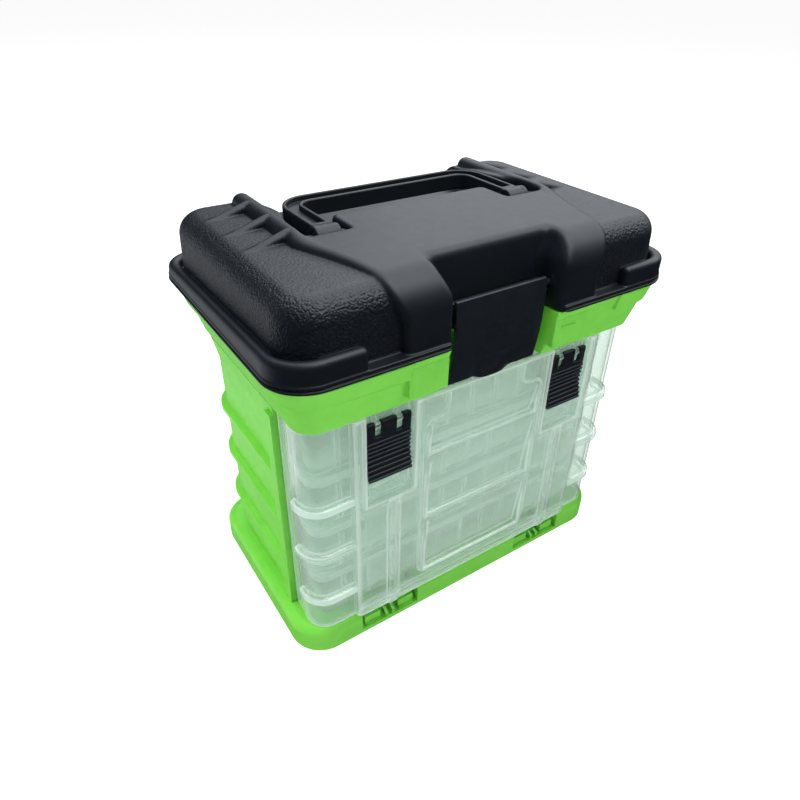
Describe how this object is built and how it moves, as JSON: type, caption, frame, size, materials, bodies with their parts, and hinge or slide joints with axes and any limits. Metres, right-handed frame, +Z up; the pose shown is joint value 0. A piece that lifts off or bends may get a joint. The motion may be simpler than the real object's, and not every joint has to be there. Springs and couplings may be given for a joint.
{
  "type": "fishing tackle box",
  "caption": "Carry box with a lidded bulk bin over pull-out compartment organizers behind a clear drop-down front door.",
  "frame": {"origin": "centre of the footprint on the surface the box stands on", "axes": "+X along the width to the box's own left-to-right as seen from the front, -Y out of the clear front door, +Z up"},
  "size_m": [0.27, 0.18, 0.256],
  "materials": {
    "green_plastic": "fine satin moulded",
    "charcoal_plastic": "grained moulded",
    "black_plastic": "fine grain moulded",
    "clear_plastic": "clear gloss",
    "divider_plastic": "clear frosted",
    "steel": "drawn wire"
  },
  "bodies": {
    "root": {"base_plinth": "green_plastic", "body_shell": "green_plastic", "plinth_screws": "steel", "bulk_bin": "green_plastic", "lid_hinge_pin_left": "steel", "lid_hinge_pin_right": "steel"},
    "lid": {"lid": "charcoal_plastic", "handle_pin_left": "steel", "handle_pin_right": "steel", "lid_latch_pin": "steel"},
    "carry_handle": {"carry_handle": "charcoal_plastic"},
    "lid_latch": {"lid_latch": "black_plastic"},
    "front_door": {"front_door": "clear_plastic", "door_latch_pin_left": "steel", "door_latch_pin_right": "steel"},
    "door_latch_left": {"door_latch_left": "black_plastic"},
    "door_latch_right": {"door_latch_right": "black_plastic"},
    "organizer_1": {"organizer_1_tray": "clear_plastic", "organizer_1_dividers": "divider_plastic", "organizer_1_lid": "clear_plastic", "organizer_1_clips": "clear_plastic"},
    "organizer_2": {"organizer_2_tray": "clear_plastic", "organizer_2_dividers": "divider_plastic", "organizer_2_lid": "clear_plastic", "organizer_2_clips": "clear_plastic"},
    "organizer_3": {"organizer_3_tray": "clear_plastic", "organizer_3_dividers": "divider_plastic", "organizer_3_lid": "clear_plastic", "organizer_3_clips": "clear_plastic"},
    "organizer_4": {"organizer_4_tray": "clear_plastic", "organizer_4_dividers": "divider_plastic", "organizer_4_lid": "clear_plastic", "organizer_4_clips": "clear_plastic"}
  },
  "joints": [
    {"name": "lid_hinge", "type": "hinge", "parent": "root", "child": "lid", "pos_m": [0, 0.085, 0.209], "axis": [-1, 0, 0], "range_deg": [0, 105]},
    {"name": "handle_pivot", "type": "hinge", "parent": "lid", "child": "carry_handle", "pos_m": [0, -0.008, 0.249], "axis": [1, 0, 0], "range_deg": [0, 95]},
    {"name": "lid_latch_pivot", "type": "hinge", "parent": "lid", "child": "lid_latch", "pos_m": [0, -0.075, 0.224], "axis": [-1, 0, 0], "range_deg": [0, 80]},
    {"name": "door_hinge", "type": "hinge", "parent": "root", "child": "front_door", "pos_m": [0, -0.069, 0.0125], "axis": [1, 0, 0], "range_deg": [0, 90]},
    {"name": "door_latch_left_pivot", "type": "hinge", "parent": "front_door", "child": "door_latch_left", "pos_m": [-0.068, -0.0725, 0.166], "axis": [-1, 0, 0], "range_deg": [0, 55]},
    {"name": "door_latch_right_pivot", "type": "hinge", "parent": "front_door", "child": "door_latch_right", "pos_m": [0.068, -0.0725, 0.166], "axis": [-1, 0, 0], "range_deg": [0, 55]},
    {"name": "organizer_1_slide", "type": "slide", "parent": "root", "child": "organizer_1", "axis": [0, -1, 0], "range_m": [0, 0.1038]},
    {"name": "organizer_2_slide", "type": "slide", "parent": "root", "child": "organizer_2", "axis": [0, -1, 0], "range_m": [0, 0.0786]},
    {"name": "organizer_3_slide", "type": "slide", "parent": "root", "child": "organizer_3", "axis": [0, -1, 0], "range_m": [0, 0.0504]},
    {"name": "organizer_4_slide", "type": "slide", "parent": "root", "child": "organizer_4", "axis": [0, -1, 0], "range_m": [0, 0.0218]}
  ],
  "couplings": [
    {"joint": "organizer_1_slide", "follows": "door_hinge", "m_per_rad": 0.066},
    {"joint": "organizer_2_slide", "follows": "door_hinge", "m_per_rad": 0.05},
    {"joint": "organizer_3_slide", "follows": "door_hinge", "m_per_rad": 0.032},
    {"joint": "organizer_4_slide", "follows": "door_hinge", "m_per_rad": 0.0138}
  ]
}
